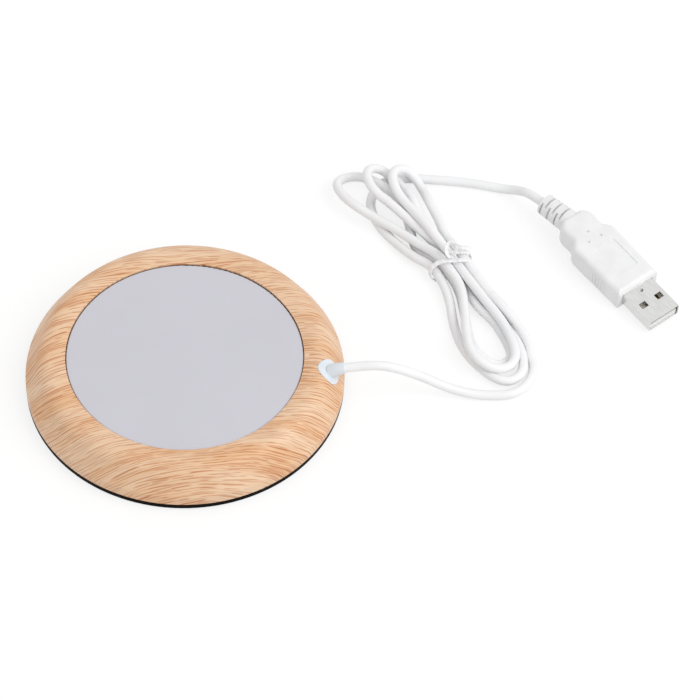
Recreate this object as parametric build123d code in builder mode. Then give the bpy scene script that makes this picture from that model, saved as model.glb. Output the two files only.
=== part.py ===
from build123d import *

import os
from math import cos, pi, radians, sin, tan

os.makedirs("parts", exist_ok=True)

# Driving dimensions, in millimetres and degrees. The ring's axis is Z and the table is Z = 0.

# Heated plate and the seal that carries it
plate_dia = 73.3
plate_thickness = 1.2
plate_drop = 1.1  # from the ring's crown down to the plate's face
plate_edge_round = 0.35
seal_wall = 0.15
seal_floor = 0.4
seal_upstand = 1.0  # how far the seal's wall covers the plate's edge
fit_gap = 0.05  # between parts that are pressed or moulded together
slip_gap = 0.2  # between parts that are laid in by hand

# Wood-look ring
body_height = 14.4  # table to crown
ring_width = 12.5  # plate opening to outer edge
mouth_drop = 0.7  # the ring dips by this much towards the plate
side_height = 5.7  # table to where the upright side and the slope would meet
side_slope = 60.0  # the slope's angle to the table
side_round = 1.5
crown_round = 5.6
crown_flat = 0.3
wall = 2.0
ledge_width = 2.4
ledge_thickness = 1.6

# Heater stack
film_thickness = 0.2
film_margin = 0.5
pad_thickness = 3.0
pad_margin = 0.6
carrier_thickness = 1.5
carrier_rim = 2.6
cutout_start = 1.0
cutout_end = 32.0
cutout_corner = 2.0
wire_window_length = 10.0
wire_window_width = 8.0

# Base, feet and screws
foot_drop = 0.3
base_thickness = 2.15
base_inset = 0.1
base_edge_break = 0.3
lip_height = 2.0
lip_thickness = 1.5
post_height = 2.0
boss_dia = 5.6
boss_inset = 7.0  # from the outer edge in to the screws
screw_count = 4
screw_shank_dia = 2.2
screw_head_dia = 4.4
screw_head_height = 1.3
screw_length = 6.0
screw_slot = 0.5
foot_dia = 8.6
foot_thickness = 1.6
strut_dia = 5.0
strut_circle_dia = 40.0
strut_count = 3
rib_dia = 62.0
rib_thickness = 1.2
rib_height = 1.3

# Cord outlet on the ring's slope
outlet_azimuth = -5.8
outlet_slope = 40.0  # elevation of the flange's axis
flange_dia = 8.3
flange_sunk = 0.8  # of the wall, below the ring's outside
flange_proud = 0.15
neck_dia = 5.0
inner_flange_dia = 6.4
inner_flange_thickness = 1.0
neck_tail = 0.8  # past the inner flange
sleeve_reach = 4.5
sleeve_root_dia = 4.4
sleeve_wall = 0.3
sleeve_end_azimuth = 4.0
sleeve_end_elevation = 8.0

# Wires inside
wire_dia = 1.2
wire_spread = 0.8
wire_bend = 1.6
wire_drop_share = 0.45  # of the way down to the base, straight out of the grommet
wire_rise = 3.4  # last straight run up to the red tag
lead_dia = 0.6
lead_length = 2.5  # from the cut-off's case to the splice
tag_step = 3.0  # from the cut-off's case to the black tag
tag_size = (3.0, 2.4, 0.3)
cutoff_size = (8.0, 4.5, 2.4)
cutoff_centre = 11.0
splice_dia = 2.2
splice_length = 7.0
wire_side = 2.5  # the wires end this far to each side of the outlet's radius

# Cord
cord_dia = 3.0
floor_z = cord_dia / 2 + fit_gap  # centre of a strand that lies on the table
bend_share = 0.45  # each arc uses this share of its shorter run
first_run = 8.0  # straight out of the sleeve
# Points from the cord's outlet in plan, and above a strand that lies on the table
lead_route = [(15.2, 0.8, 12.5), (24.3, 1.2, 7.3), (32.8, 0.7, 2.1), (40.8, 0.0, 0.1)]
exit_route = [(27.8, 87.5, 0), (34.8, 87.0, 0), (42.3, 85.8, 0), (50.0, 83.9, 0.1), (54.9, 81.4, 2.5)]
last_run = 6.0  # straight into the strain relief

# Hank, in its own frame: X runs from the upper lobe to the lower one, Y across it
hank_centre = (32.3, 51.4)  # from the cord's outlet
hank_turn = -57.7
waist_low = -6.5
waist_high = 6.0
waist_corner = 1.4
waist_floor = 1.5
waist_top = 7.6
lower_lobe_height = 7.2
upper_lobe_height = 8.6
# Circles (along, across, radius) that the outline of each lobe goes round
lower_lobe = [(42.4, -7.8, 7.9), (33.0, -7.5, 8.0), (36.0, -0.8, 7.4), (27.0, -0.6, 7.8)]
upper_lobe = [(-42.5, -9.6, 5.8), (-46.5, -0.5, 5.0), (-38.5, 7.4, 6.0), (-25.0, -7.5, 5.2)]
stub_inside = 7.0  # how far a strand reaches into its lobe
stub_groove = 8.0  # length of the groove that clears the strand outside it

# Twist tie
tie_width = 2.6
tie_thickness = 0.8
tie_knot_length = 4.8
tie_knot_turns = (0, 60, 120)
tie_tail_width = 2.2
tie_tail_thickness = 0.6
tie_tails = [(8.2, 29.0, 4.0), (8.0, 72.0, -2.0)]  # length, heading in the hank's frame, droop

# Wrap of the lead round the lower lobe's tip
wrap_bearing = -11.5
wrap_distance = 43.2
wrap_radius = 11.38
wrap_headings = (-77.2, -51.6, -26.1, -0.5, 25.0)

# Plug, in its own frame: X runs to the tip and X = 0 is the grip's front face
plug_place = (91.45, 40.42)  # from the cord's outlet
plug_height = 4.4
plug_yaw = -50.8
plug_nose_down = 5.0
grip_width = 16.6
grip_thickness = 8.8
grip_length = 33.0
grip_shoulder = 21.0  # front face to the shoulder
grip_waist_width = 12.0
grip_bulb_width = 12.3
grip_edge_round = 1.8
panel_length = 12.2
panel_width = 9.4
panel_centre = -11.8
panel_depth = 0.25
dimples = [(-24.5, -0.3), (-21.0, 2.2), (-21.2, -2.6)]
dimple_dia = 0.9
dimple_depth = 0.4
grip_groove_count = 5
grip_groove_pitch = 1.35
grip_groove_first = -6.6
grip_groove_width = 0.6
grip_groove_depth = 0.35
relief_offset = -0.25
relief_bend = 7.1
relief_rise = 0.0
relief_length = 10.6
relief_root_dia = 8.0
relief_tip_dia = 7.0
relief_slots = 6
relief_slot_pitch = 1.55
relief_slot_width = 0.75
relief_slot_first = 1.5
relief_core = 1.9  # a slot stops this far from the relief's axis
shell_length = 13.05
shell_width = 12.0
shell_height = 4.5
shell_wall = 0.3
shell_corner = 0.6
shell_buried = 5.0
window_length = 2.1
window_width = 2.5
window_from_tip = 6.45
window_side = 3.1
latch_dia = 1.2
latch_place = 1.8
tongue_height = 1.95
tongue_from_tip = 0.5
insulator_step = 1.5
contact_width = 1.0
contact_thickness = 0.2
contact_from_tip = 1.2
contact_rows = [(-3.5, 7.4), (-1.0, 6.4), (1.0, 6.4), (3.5, 7.4)]  # across, length

# Radii and heights that follow from them
plate_radius = plate_dia / 2
mouth_radius = plate_radius + fit_gap + seal_wall + fit_gap
outer_radius = mouth_radius + ring_width
slope_top_radius = outer_radius - (body_height - side_height) / tan(radians(side_slope))
crown_centre = slope_top_radius - crown_round * tan(radians(side_slope) / 2)
crown_radius = crown_centre - crown_flat
crown_run = crown_radius - mouth_radius
ledge_radius = mouth_radius - ledge_width
base_top = foot_drop + base_thickness
plate_top = body_height - plate_drop
plate_bottom = plate_top - plate_thickness
ledge_top = plate_bottom - seal_floor
ledge_bottom = ledge_top - ledge_thickness
film_bottom = plate_bottom - film_thickness
pad_bottom = film_bottom - pad_thickness
carrier_bottom = pad_bottom - carrier_thickness
skirt_bottom = pad_bottom - slip_gap
boss_bottom = base_top + post_height
boss_radius = outer_radius - boss_inset
foot_recess_depth = foot_thickness - foot_drop
screw_seat = foot_thickness + screw_head_height + slip_gap
wire_height = (base_top + carrier_bottom) / 2
cutout_length = cutout_end - cutout_start
cutout_width = 2 * (wire_side + cutoff_size[1] / 2 + slip_gap)
tag_bottom = film_bottom - tag_size[2]
film_radius = ledge_radius - film_margin
pad_radius = ledge_radius - pad_margin
carrier_radius = mouth_radius - slip_gap


def direction(azimuth, elevation):
    """A unit vector at that angle round Z and that angle up."""
    flat = cos(radians(elevation))
    return Vector(
        flat * cos(radians(azimuth)), flat * sin(radians(azimuth)), sin(radians(elevation))
    )


def corner_radii(points):
    """The arc at each corner of a route, as large as its two runs allow."""
    runs = [b - a for a, b in zip(points, points[1:])]
    return [
        bend_share * min(a.length, b.length) / tan(radians(a.get_angle(b)) / 2)
        for a, b in zip(runs, runs[1:])
    ]


def save(piece, label):
    piece.part.label = label
    export_step(piece.part, f"parts/{label}.step")


# Places that the cord and the wires share

outlet_radius = crown_centre + crown_round * cos(radians(outlet_slope))
outlet_height = body_height - crown_round + crown_round * sin(radians(outlet_slope))
outlet = Vector(
    outlet_radius * cos(radians(outlet_azimuth)),
    outlet_radius * sin(radians(outlet_azimuth)),
    outlet_height,
)
flange_axis = direction(outlet_azimuth, outlet_slope)
exit_axis = direction(sleeve_end_azimuth, sleeve_end_elevation)
sleeve_chord = (flange_axis + exit_axis).normalized()
sleeve_tip_dia = cord_dia + 2 * sleeve_wall
cord_exit = outlet + sleeve_chord * sleeve_reach
outlet_plane = Plane(outlet, x_dir=direction(outlet_azimuth + 90, 0), z_dir=flange_axis)
sector = Plane.XY.rotated((0, 0, outlet_azimuth))
neck_end = -wall - fit_gap - inner_flange_thickness - neck_tail


def beside_outlet(radius, side, height):
    """A point given by its radius, its distance to the side of the outlet and its height."""
    return sector.from_local_coords(Vector(radius, side, height))


def ring_line(inset):
    """The ring's side, slope and crown, this far in from its outside."""
    return FilletPolyline(
        (outer_radius - inset, base_top),
        (outer_radius - inset, side_height - inset * tan(radians(90 - side_slope) / 2)),
        (slope_top_radius - inset * tan(radians(side_slope) / 2), body_height - inset),
        (crown_radius, body_height - inset),
        radius=(max(side_round - inset, side_round / 3), crown_round - inset),
    )


def ring_layer(outer_inset, inner_inset):
    """A round of the ring's wall between two insets, to be cut to a flange."""
    with BuildSketch(Plane.XZ) as section:
        with BuildLine():
            outside = ring_line(outer_inset)
            inside = ring_line(inner_inset)
            Line(outside @ 1, inside @ 1)
            Line(outside @ 0, inside @ 0)
        make_face()
    return section.sketch


# Wood-look ring: a sloping shell with a ledge, a skirt round the carrier and four bosses

with BuildPart() as ring_cavity:
    with BuildSketch(Plane.XZ) as cavity_section:
        with BuildLine():
            cavity_line = ring_line(wall)
            Polyline(
                cavity_line @ 1,
                (mouth_radius + wall, body_height - wall),
                (mouth_radius + wall, skirt_bottom),
                (mouth_radius, skirt_bottom),
                (mouth_radius, ledge_bottom),
                (ledge_radius, ledge_bottom),
                (ledge_radius, base_top),
                cavity_line @ 0,
            )
        make_face()
    revolve(axis=Axis.Z)
    with BuildSketch(Plane.XY.offset(boss_bottom)):
        with PolarLocations(boss_radius, screw_count, start_angle=45):
            Circle(boss_dia / 2)
    extrude(amount=body_height - boss_bottom, mode=Mode.SUBTRACT)

with BuildPart() as flange_seat:
    with BuildSketch(outlet_plane.offset(-flange_dia / 2)):
        Circle(flange_dia / 2 + fit_gap)
    extrude(amount=flange_dia)
    revolve(ring_layer(-flange_dia, flange_sunk), axis=Axis.Z, mode=Mode.INTERSECT)

with BuildPart() as ring:
    with BuildSketch(Plane.XZ) as ring_section:
        with BuildLine():
            outline = ring_line(0)
            dip = RadiusArc(
                outline @ 1,
                (mouth_radius, body_height - mouth_drop),
                -(crown_run**2 + mouth_drop**2) / (2 * mouth_drop),
            )
            Polyline(
                dip @ 1,
                (mouth_radius, ledge_top),
                (ledge_radius, ledge_top),
                (ledge_radius, base_top),
                outline @ 0,
            )
        make_face()
    revolve(axis=Axis.Z)
    add(ring_cavity.part, mode=Mode.SUBTRACT)
    with Locations(Plane.XY.offset(boss_bottom)):
        with PolarLocations(boss_radius, screw_count, start_angle=45):
            Cylinder(
                screw_shank_dia / 2 + fit_gap,
                screw_seat + screw_length + slip_gap - boss_bottom,
                align=(Align.CENTER, Align.CENTER, Align.MIN),
                mode=Mode.SUBTRACT,
            )
    add(flange_seat.part, mode=Mode.SUBTRACT)
    with BuildSketch(outlet_plane):
        Circle(neck_dia / 2 + fit_gap)
    extrude(amount=-(wall + inner_flange_dia / 2), mode=Mode.SUBTRACT)
save(ring, "wood_grain_ring")

# Heating plate with softened edges, lying in a seal of L section

with BuildPart() as plate:
    with BuildSketch(Plane.XY.offset(plate_bottom)):
        Circle(plate_radius)
    extrude(amount=plate_thickness)
    fillet(plate.edges().group_by(Axis.Z)[-1], plate_edge_round)
save(plate, "heating_plate")

with BuildPart() as seal:
    with BuildSketch(Plane.XZ):
        with Locations((ledge_radius + slip_gap, ledge_top)):
            Rectangle(
                mouth_radius - fit_gap - ledge_radius - slip_gap,
                seal_floor,
                align=(Align.MIN, Align.MIN),
            )
        with Locations((mouth_radius - fit_gap, ledge_top)):
            Rectangle(seal_wall, seal_floor + seal_upstand, align=(Align.MAX, Align.MIN))
    revolve(axis=Axis.Z)
save(seal, "plate_seal")

# Heater film, bonded under the plate, and its two solder tags

with BuildPart() as film:
    with BuildSketch(Plane.XY.offset(film_bottom)):
        Circle(film_radius)
    extrude(amount=film_thickness)
save(film, "heater_film")

red_tag_radius = cutout_end - wire_window_length / 2
black_tag_radius = cutoff_centre - cutoff_size[0] / 2 - tag_step
for tag_name, tag_radius, side in (
    ("solder_tag_red", red_tag_radius, wire_side),
    ("solder_tag_black", black_tag_radius, -wire_side),
):
    with BuildPart() as tag:
        with BuildSketch(sector.offset(film_bottom)):
            with Locations((tag_radius, side)):
                RectangleRounded(tag_size[0], tag_size[1], tag_size[1] / 4)
        extrude(amount=-tag_size[2])
    save(tag, tag_name)

# Insulation pad, with a window under the film for the cut-off and the wires

with BuildPart() as pad:
    with BuildSketch(Plane.XY.offset(pad_bottom)):
        Circle(pad_radius)
    extrude(amount=pad_thickness)
    with BuildSketch(sector.offset(pad_bottom)):
        with Locations((cutout_start + cutout_length / 2, 0)):
            RectangleRounded(cutout_length, cutout_width, cutout_corner)
    extrude(amount=pad_thickness, mode=Mode.SUBTRACT)
save(pad, "insulation_pad")

# Inner carrier: a dish that holds the pad up, with a rim against the ledge and a wire window

with BuildPart() as carrier:
    with BuildSketch(Plane.XY.offset(carrier_bottom)):
        Circle(carrier_radius)
    extrude(amount=carrier_thickness)
    with BuildSketch(Plane.XY.offset(pad_bottom)):
        Circle(carrier_radius)
        Circle(carrier_radius - carrier_rim + slip_gap, mode=Mode.SUBTRACT)
    extrude(amount=ledge_bottom - pad_bottom)
    with BuildSketch(sector.offset(carrier_bottom)):
        with Locations((cutout_end, 0)):
            RectangleRounded(
                wire_window_length,
                wire_window_width,
                cutout_corner,
                align=(Align.MAX, Align.CENTER),
            )
    extrude(amount=carrier_thickness, mode=Mode.SUBTRACT)
save(carrier, "inner_carrier")

# Thermal cut-off with its two leads, and the sleeve that splices the black wire to it

lead_height = film_bottom - cutoff_size[2] / 2
cutoff_near = cutoff_centre - cutoff_size[0] / 2
cutoff_far = cutoff_centre + cutoff_size[0] / 2
splice_start = cutoff_far + lead_length
splice_end = splice_start + splice_length
with BuildPart() as cutoff:
    with BuildSketch(sector.offset(film_bottom)):
        with Locations((cutoff_centre, -wire_side)):
            RectangleRounded(cutoff_size[0], cutoff_size[1], 0.6)
    extrude(amount=-cutoff_size[2])
    for lead_points in (
        [
            beside_outlet(cutoff_near + lead_dia, -wire_side, lead_height),
            beside_outlet(black_tag_radius, -wire_side, lead_height),
            beside_outlet(black_tag_radius, -wire_side, tag_bottom),
        ],
        [
            beside_outlet(cutoff_far - lead_dia, -wire_side, lead_height),
            beside_outlet(splice_start, -wire_side, lead_height),
        ],
    ):
        with BuildLine() as lead_line:
            if len(lead_points) == 2:
                Line(*lead_points)
            else:
                FilletPolyline(*lead_points, radius=lead_dia)
        with BuildSketch(Plane(lead_line.line @ 0, z_dir=lead_line.line % 0)):
            Circle(lead_dia / 2)
        sweep(path=lead_line.line)
save(cutoff, "thermal_cutoff")

with BuildPart() as splice:
    with BuildSketch(
        Plane(
            beside_outlet(splice_start, -wire_side, lead_height),
            z_dir=direction(outlet_azimuth, 0),
        )
    ):
        Circle(splice_dia / 2)
    extrude(amount=splice_length)
save(splice, "splice_sleeve")

# Two wires from the outlet, under the carrier and up through its window

wire_start_radius = outlet_radius + neck_end * cos(radians(outlet_slope))
wire_start_height = outlet_height + neck_end * sin(radians(outlet_slope))
wire_first_run = (wire_start_height - wire_height) * wire_drop_share / sin(radians(outlet_slope))
for wire_name, side, last_points in (
    (
        "red_wire",
        1,
        [(red_tag_radius, tag_bottom - wire_rise), (red_tag_radius, tag_bottom)],
    ),
    ("black_wire", -1, [(splice_end + wire_rise, lead_height), (splice_end, lead_height)]),
):
    wire_points = [
        beside_outlet(wire_start_radius, side * wire_spread, wire_start_height),
        beside_outlet(
            wire_start_radius - wire_first_run * cos(radians(outlet_slope)),
            side * wire_spread,
            wire_start_height - wire_first_run * sin(radians(outlet_slope)),
        ),
        beside_outlet(mouth_radius + wall, side * (wire_spread + wire_dia / 4), wire_height),
        beside_outlet(cutout_end - wire_dia, side * (wire_side - wire_dia / 2), wire_height),
        *[beside_outlet(radius, side * wire_side, height) for radius, height in last_points],
    ]
    with BuildPart() as wire:
        with BuildLine() as wire_line:
            FilletPolyline(*wire_points, radius=wire_bend)
        with BuildSketch(Plane(wire_line.line @ 0, z_dir=wire_line.line % 0)):
            Circle(wire_dia / 2)
        sweep(path=wire_line.line)
    save(wire, wire_name)

# Base cover: a disc with a locating lip and a rib, both open where the wires pass, screw posts,
# struts under the carrier and foot recesses

with BuildPart() as base:
    with BuildSketch(Plane.XY.offset(foot_drop)):
        Circle(outer_radius - base_inset)
    extrude(amount=base_thickness)
    chamfer(base.edges().group_by(Axis.Z)[0], base_edge_break)
    lip_radius = outer_radius - wall - slip_gap
    with BuildSketch(Plane.XY.offset(base_top)):
        Circle(lip_radius)
        Circle(lip_radius - lip_thickness, mode=Mode.SUBTRACT)
    extrude(amount=lip_height)
    with BuildSketch(Plane.XY.offset(base_top)):
        Circle(rib_dia / 2)
        Circle(rib_dia / 2 - rib_thickness, mode=Mode.SUBTRACT)
    extrude(amount=rib_height)
    with BuildSketch(sector.offset(base_top)):
        with Locations((rib_dia / 2 - 2 * rib_thickness, 0)):
            Rectangle(
                lip_radius - rib_dia / 2 + 3 * rib_thickness,
                inner_flange_dia + 2 * slip_gap,
                align=(Align.MIN, Align.CENTER),
            )
    extrude(amount=lip_height, mode=Mode.SUBTRACT)
    with BuildSketch(Plane.XY.offset(base_top)):
        with PolarLocations(strut_circle_dia / 2, strut_count, start_angle=60):
            Circle(strut_dia / 2)
    extrude(amount=carrier_bottom - base_top)
    with BuildSketch(Plane.XY.offset(base_top)):
        with PolarLocations(boss_radius, screw_count, start_angle=45):
            Circle(boss_dia / 2)
    extrude(amount=post_height)
    with BuildSketch(Plane.XY.offset(foot_drop)):
        with PolarLocations(boss_radius, screw_count, start_angle=45):
            Circle(foot_dia / 2 + slip_gap)
    extrude(amount=foot_recess_depth, mode=Mode.SUBTRACT)
    with BuildSketch(Plane.XY.offset(foot_drop)):
        with PolarLocations(boss_radius, screw_count, start_angle=45):
            Circle(screw_head_dia / 2 + slip_gap)
    extrude(amount=screw_seat - foot_drop, mode=Mode.SUBTRACT)
    with BuildSketch(Plane.XY.offset(foot_drop)):
        with PolarLocations(boss_radius, screw_count, start_angle=45):
            Circle(screw_shank_dia / 2 + slip_gap)
    extrude(amount=boss_bottom - foot_drop, mode=Mode.SUBTRACT)
save(base, "base_cover")

# Four cross-slot screws, driven up through the base into the ring's bosses

with BuildPart() as screws:
    with BuildSketch(Plane.XY.offset(screw_seat - screw_head_height)):
        with PolarLocations(boss_radius, screw_count, start_angle=45):
            Circle(screw_head_dia / 2)
    extrude(amount=screw_head_height)
    with BuildSketch(Plane.XY.offset(screw_seat)):
        with PolarLocations(boss_radius, screw_count, start_angle=45):
            Circle(screw_shank_dia / 2)
    extrude(amount=screw_length)
    with BuildSketch(Plane.XY.offset(screw_seat - screw_head_height)):
        with PolarLocations(boss_radius, screw_count, start_angle=45):
            Rectangle(screw_head_dia * 0.6, screw_slot)
            Rectangle(screw_slot, screw_head_dia * 0.6)
    extrude(amount=screw_head_height / 2, mode=Mode.SUBTRACT)
save(screws, "base_screws")

foot_names = ["rear_right_foot", "rear_left_foot", "front_left_foot", "front_right_foot"]
for foot_name, place in zip(foot_names, PolarLocations(boss_radius, screw_count, start_angle=45)):
    with BuildPart() as foot:
        with BuildSketch(Plane(place.position)):
            Circle(foot_dia / 2)
        extrude(amount=foot_thickness)
        chamfer(foot.edges().group_by(Axis.Z)[0], base_edge_break / 2)
    save(foot, foot_name)

# Cord outlet: a grommet with two flanges curved as the ring's wall, and a soft sleeve

with BuildPart() as outer_flange:
    with BuildSketch(outlet_plane.offset(-flange_dia / 2)):
        Circle(flange_dia / 2)
    extrude(amount=flange_dia)
    revolve(ring_layer(-flange_proud, flange_sunk), axis=Axis.Z, mode=Mode.INTERSECT)

with BuildPart() as inner_flange:
    with BuildSketch(outlet_plane.offset(-wall - inner_flange_dia / 2)):
        Circle(inner_flange_dia / 2)
    extrude(amount=inner_flange_dia)
    inner_layer = ring_layer(wall + fit_gap, wall + fit_gap + inner_flange_thickness)
    revolve(inner_layer, axis=Axis.Z, mode=Mode.INTERSECT)

with BuildPart() as grommet:
    add(outer_flange.part)
    add(inner_flange.part)
    with BuildSketch(outlet_plane.offset(-flange_sunk)):
        Circle(neck_dia / 2)
    extrude(amount=neck_end + flange_sunk)
    sleeve_middle = outlet + (flange_axis * 1.3 + sleeve_chord).normalized() * (sleeve_reach / 2)
    with BuildSketch(outlet_plane):
        Circle(sleeve_root_dia / 2)
    with BuildSketch(Plane(sleeve_middle, z_dir=sleeve_chord)):
        Circle((sleeve_root_dia + sleeve_tip_dia) / 4)
    with BuildSketch(Plane(cord_exit, z_dir=exit_axis)):
        Circle(sleeve_tip_dia / 2)
    loft()
save(grommet, "cord_grommet")

# Cord from the outlet to the hank: up and over to the table, then round the lower lobe


def from_exit(x, y, rise):
    """A point given by its distance from the cord's exit in plan, and its rise off the table."""
    return Vector(cord_exit.X + x, cord_exit.Y + y, floor_z + rise)


wrap_middle = direction(hank_turn + wrap_bearing, 0) * wrap_distance
wrap_centre = from_exit(*hank_centre, 0) + wrap_middle
lead_points = [cord_exit, cord_exit + exit_axis * first_run]
for place in lead_route:
    lead_points.append(from_exit(*place))
for wrap_heading in wrap_headings:
    lead_points.append(wrap_centre + direction(wrap_heading, 0) * wrap_radius)

grip_plane = Plane(
    from_exit(*plug_place, plug_height - floor_z),
    x_dir=direction(plug_yaw, -plug_nose_down),
    z_dir=direction(plug_yaw, 90 - plug_nose_down),
)
relief_axis = direction(plug_yaw + relief_bend, relief_rise)
relief_root = grip_plane.from_local_coords(Vector(-grip_length, relief_offset, 0))
relief_end = relief_root - relief_axis * relief_length

exit_points = [from_exit(*place) for place in exit_route]
exit_points += [relief_end - relief_axis * last_run, relief_end]


def cord_tube(label, points):
    """A tube along straight runs joined by tangent arcs."""
    radii = corner_radii(points)
    with BuildPart() as tube:
        with BuildLine() as route:
            FilletPolyline(*points, radius=radii)
        with BuildSketch(Plane(route.line @ 0, z_dir=route.line % 0)):
            Circle(cord_dia / 2)
        sweep(path=route.line)
    save(tube, label)
    length = sum(edge.length for edge in route.edges())
    share = tube.part.volume / (pi * (cord_dia / 2) ** 2 * length)
    print(label, "radii", [round(r, 1) for r in radii], "length", round(length, 1))
    print(label, "volume over section times length", round(share, 4))


cord_tube("cord_lead", lead_points)
cord_tube("cord_exit", exit_points)

# Hank: the outer shape of its two lobes of loops, with a waist where it is tied

hank_plane = Plane(from_exit(*hank_centre, -floor_z), x_dir=direction(hank_turn, 0), z_dir=(0, 0, 1))
waist_round = tie_width / 2
waist_circles = [
    (0, waist_low + waist_round, waist_round),
    (0, waist_high - waist_round, waist_round),
]
tie_plane = Plane(
    hank_plane.from_local_coords(Vector(-tie_width / 2, 0, 0)),
    x_dir=direction(hank_turn + 90, 0),
    z_dir=direction(hank_turn, 0),
)
waist_middle = ((waist_low + waist_high) / 2, (waist_floor + waist_top) / 2)
waist_size = (waist_high - waist_low, waist_top - waist_floor)

with BuildPart() as tie_groove:
    with BuildSketch(tie_plane.offset(-fit_gap)):
        Rectangle(waist_size[0] * 2, waist_size[1] * 4)
        with Locations(waist_middle):
            RectangleRounded(*waist_size, waist_corner, mode=Mode.SUBTRACT)
    extrude(amount=tie_width + 2 * fit_gap)

with BuildPart() as hank:
    for circles, height in ((lower_lobe, lower_lobe_height), (upper_lobe, upper_lobe_height)):
        with BuildSketch(hank_plane):
            for along, across, radius in [*circles, *waist_circles]:
                with Locations((along, across)):
                    Circle(radius)
            make_hull()
        extrude(amount=height)
    for end, inner in (
        (lead_points[-1], lead_points[-1] - lead_points[-2]),
        (exit_points[0], exit_points[0] - exit_points[1]),
    ):
        with BuildSketch(Plane(end, z_dir=inner)):
            Circle(cord_dia / 2)
        extrude(amount=stub_inside)
        with BuildSketch(Plane(end, z_dir=inner)):
            Circle(cord_dia / 2 + slip_gap)
        extrude(amount=-stub_groove, mode=Mode.SUBTRACT)
    add(tie_groove.part, mode=Mode.SUBTRACT)
save(hank, "cord_hank")

# Twist tie: a flat ribbon round the waist, twisted into a knot on top, with two free tails

with BuildPart() as tie:
    with BuildSketch(tie_plane):
        with Locations(waist_middle):
            RectangleRounded(
                waist_size[0] + 2 * (fit_gap + tie_thickness),
                waist_size[1] + 2 * (fit_gap + tie_thickness),
                waist_corner + tie_thickness,
            )
            RectangleRounded(
                waist_size[0] + 2 * fit_gap,
                waist_size[1] + 2 * fit_gap,
                waist_corner,
                mode=Mode.SUBTRACT,
            )
    extrude(amount=tie_width)
    ribbon_top = waist_top + fit_gap + tie_thickness
    knot_middle = Vector(0, 0.4, ribbon_top + tie_width / 2 - tie_thickness)
    for number, turn in enumerate(tie_knot_turns):
        slice_place = knot_middle + Vector(0, (number - 1) * tie_knot_length / 4, 0)
        with Locations(hank_plane.location * Location(slice_place, (90, 0, 0))):
            with Locations(Rotation(0, 0, turn)):
                Box(tie_width, tie_thickness, tie_knot_length / 2)
    for length, heading, droop in tie_tails:
        with BuildSketch(
            Plane(
                hank_plane.from_local_coords(knot_middle),
                x_dir=direction(hank_turn + heading + 90, 0),
                z_dir=direction(hank_turn + heading, -droop),
            )
        ):
            Rectangle(tie_tail_width, tie_tail_thickness)
        extrude(amount=length)
save(tie, "twist_tie")

# Plug grip: a waisted moulding with a bare panel, grip grooves and a slotted strain relief

shoulder_end = grip_shoulder + 3.5
bulb_centre = grip_length - 3.6
with BuildPart() as grip:
    with BuildSketch(grip_plane):
        with BuildLine() as half_outline:
            front = Line((0, 0), (0, grip_width / 2 - 0.4))
            side = Line(front @ 1, (-grip_shoulder, grip_width / 2))
            shoulder = Spline(
                side @ 1,
                (-shoulder_end, grip_waist_width / 2 + 0.3),
                (-bulb_centre, grip_bulb_width / 2),
                (-grip_length, relief_root_dia / 2 - 0.5),
                tangents=[(-1, 0), (-0.6, -1)],
            )
            Line(shoulder @ 1, (-grip_length, 0))
            mirror(about=Plane.XZ)
        make_face()
    extrude(amount=grip_thickness / 2, both=True)
    broad_faces = grip.faces().filter_by(GeomType.PLANE).sort_by(SortBy.AREA)[-2:]
    fillet(broad_faces.edges(), grip_edge_round)
    with BuildSketch(grip_plane.offset(grip_thickness / 2)):
        with Locations((panel_centre, 0)):
            RectangleRounded(panel_length, panel_width, 0.8)
    extrude(amount=-panel_depth, mode=Mode.SUBTRACT)
    with BuildSketch(grip_plane.offset(grip_thickness / 2)):
        with Locations(*dimples):
            Circle(dimple_dia / 2)
    extrude(amount=-dimple_depth, mode=Mode.SUBTRACT)
    with BuildSketch(grip_plane):
        for groove in range(grip_groove_count):
            groove_place = grip_groove_first - groove * grip_groove_pitch
            with Locations((groove_place, grip_width / 2), (groove_place, -grip_width / 2)):
                Rectangle(grip_groove_width, 2 * grip_groove_depth)
    extrude(amount=grip_thickness / 4, both=True, mode=Mode.SUBTRACT)
    relief_plane = Plane(
        relief_root, x_dir=direction(plug_yaw + relief_bend - 90, 0), z_dir=-relief_axis
    )
    with BuildSketch(relief_plane.offset(-2.5)):
        Circle(relief_root_dia / 2)
    with BuildSketch(relief_plane.offset(relief_length)):
        Circle(relief_tip_dia / 2)
    loft()
    for slot in range(relief_slots):
        sideways = slot % 2
        slot_height = relief_slot_first + slot * relief_slot_pitch
        with BuildSketch(relief_plane.offset(slot_height)):
            with Locations(Rotation(0, 0, 90 * sideways)):
                with Locations((0, relief_core), (0, -relief_core - relief_root_dia)):
                    Rectangle(
                        2 * relief_root_dia, relief_root_dia, align=(Align.CENTER, Align.MIN)
                    )
        extrude(amount=relief_slot_width, mode=Mode.SUBTRACT)
    with BuildSketch(grip_plane):
        Rectangle(shell_buried, shell_width + 2 * fit_gap, align=(Align.MAX, Align.CENTER))
    extrude(amount=shell_height / 2 + fit_gap, both=True, mode=Mode.SUBTRACT)
save(grip, "plug_grip")

# Plug shell: a folded steel sleeve with latch windows above and below

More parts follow.
